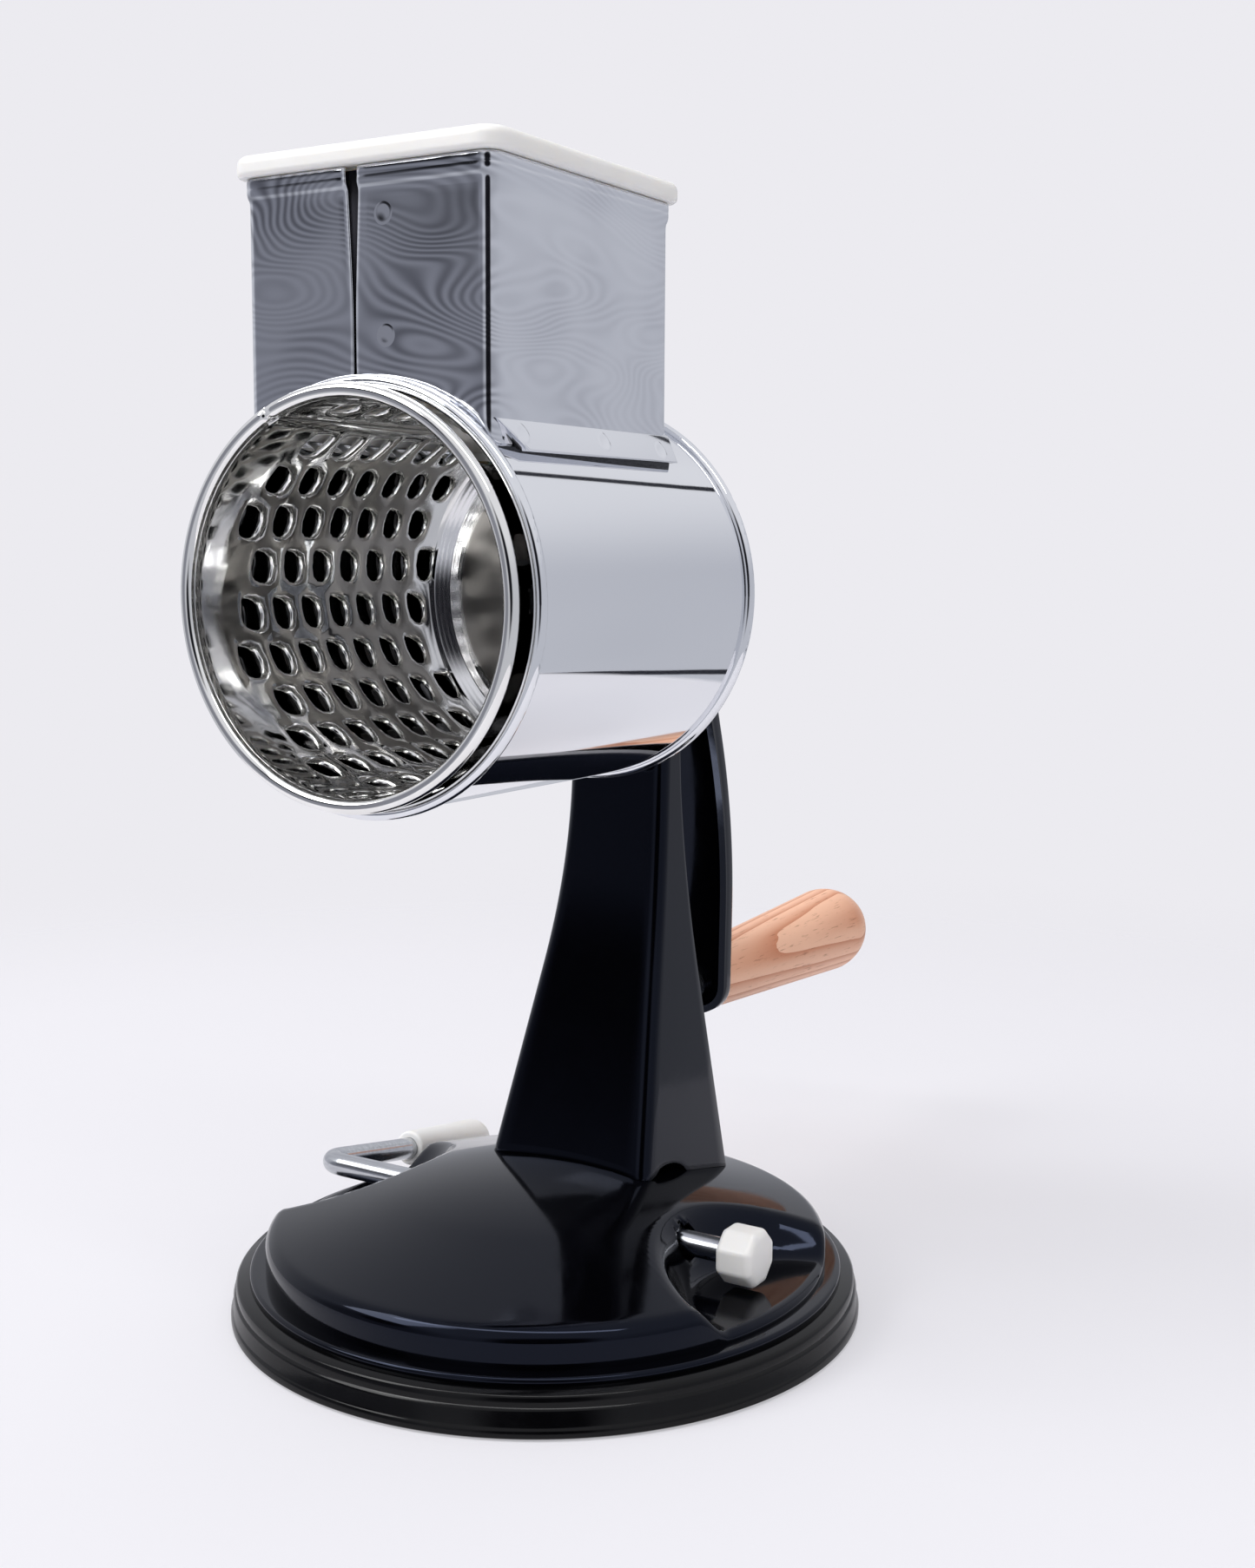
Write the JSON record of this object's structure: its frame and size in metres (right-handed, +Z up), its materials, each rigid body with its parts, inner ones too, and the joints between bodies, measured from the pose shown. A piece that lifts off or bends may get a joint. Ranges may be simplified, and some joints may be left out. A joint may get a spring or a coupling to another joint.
{
  "type": "rotary cheese grater",
  "caption": "Hand-cranked rotary grater: a perforated drum in a tube housing with a square feed hopper and pusher, on a pressed column with a lever-operated suction foot.",
  "frame": {"origin": "centre of the suction pad's flat underside, on the table", "axes": "+Z up from the table; +Y along the drum axis from the open mouth to the crank; +X to the right, seen from the mouth, towards the capped end of the lever axle"},
  "size_m": [0.1165, 0.1864, 0.2002],
  "materials": {
    "rubber": "smooth moulded black rubber",
    "black_enamel": "gloss black stove enamel",
    "tinplate": "bright plated sheet steel",
    "steel": "zinc-plated steel",
    "bronze": "plain bearing bronze",
    "white_plastic": "milky white moulded plastic",
    "beech": "turned light wood, oiled"
  },
  "bodies": {
    "stand": {"suction_pad": "rubber", "base_shell": "black_enamel", "axle_bridge": "steel", "column": "black_enamel", "foot_bracket": "black_enamel", "foot_rivets": "steel", "housing": "tinplate", "housing_back": "tinplate", "back_rivets": "steel", "bearing_bush": "bronze", "bush_nut": "steel", "hopper": "tinplate"},
    "rotor": {"drum": "tinplate", "drum_end": "tinplate", "drum_shaft": "steel", "shaft_washer": "steel", "crank_hub": "steel", "crank_arm": "black_enamel", "handle_pin": "steel", "pin_washer": "steel"},
    "handle": {"handle_grip": "beech"},
    "pusher": {"pusher": "white_plastic"},
    "lever": {"lever_axle": "steel", "lever_cam": "steel", "cam_pin": "steel", "lever_cap": "white_plastic", "lever_grip": "white_plastic"},
    "stem": {"stem_yoke": "steel", "stem_button": "steel"}
  },
  "joints": [
    {"name": "crank_turn", "type": "hinge", "parent": "stand", "child": "rotor", "pos_m": [0, 0, 0.131], "axis": [0, 1, 0], "continuous": true},
    {"name": "handle_spin", "type": "hinge", "parent": "rotor", "child": "handle", "pos_m": [0, 0.09, 0.0494], "axis": [0, 1, 0], "continuous": true},
    {"name": "pusher_lift", "type": "slide", "parent": "stand", "child": "pusher", "axis": [0, 0, 1], "range_m": [0, 0.06]},
    {"name": "lever_turn", "type": "hinge", "parent": "stand", "child": "lever", "pos_m": [0, 0, 0.0165], "axis": [1, 0, 0], "range_deg": [0, 100]},
    {"name": "stem_lift", "type": "slide", "parent": "stand", "child": "stem", "axis": [0, 0, 1], "range_m": [0, 0.0019]}
  ],
  "couplings": [
    {"joint": "stem_lift", "follows": "lever_turn", "m_per_rad": 0.0010534}
  ]
}
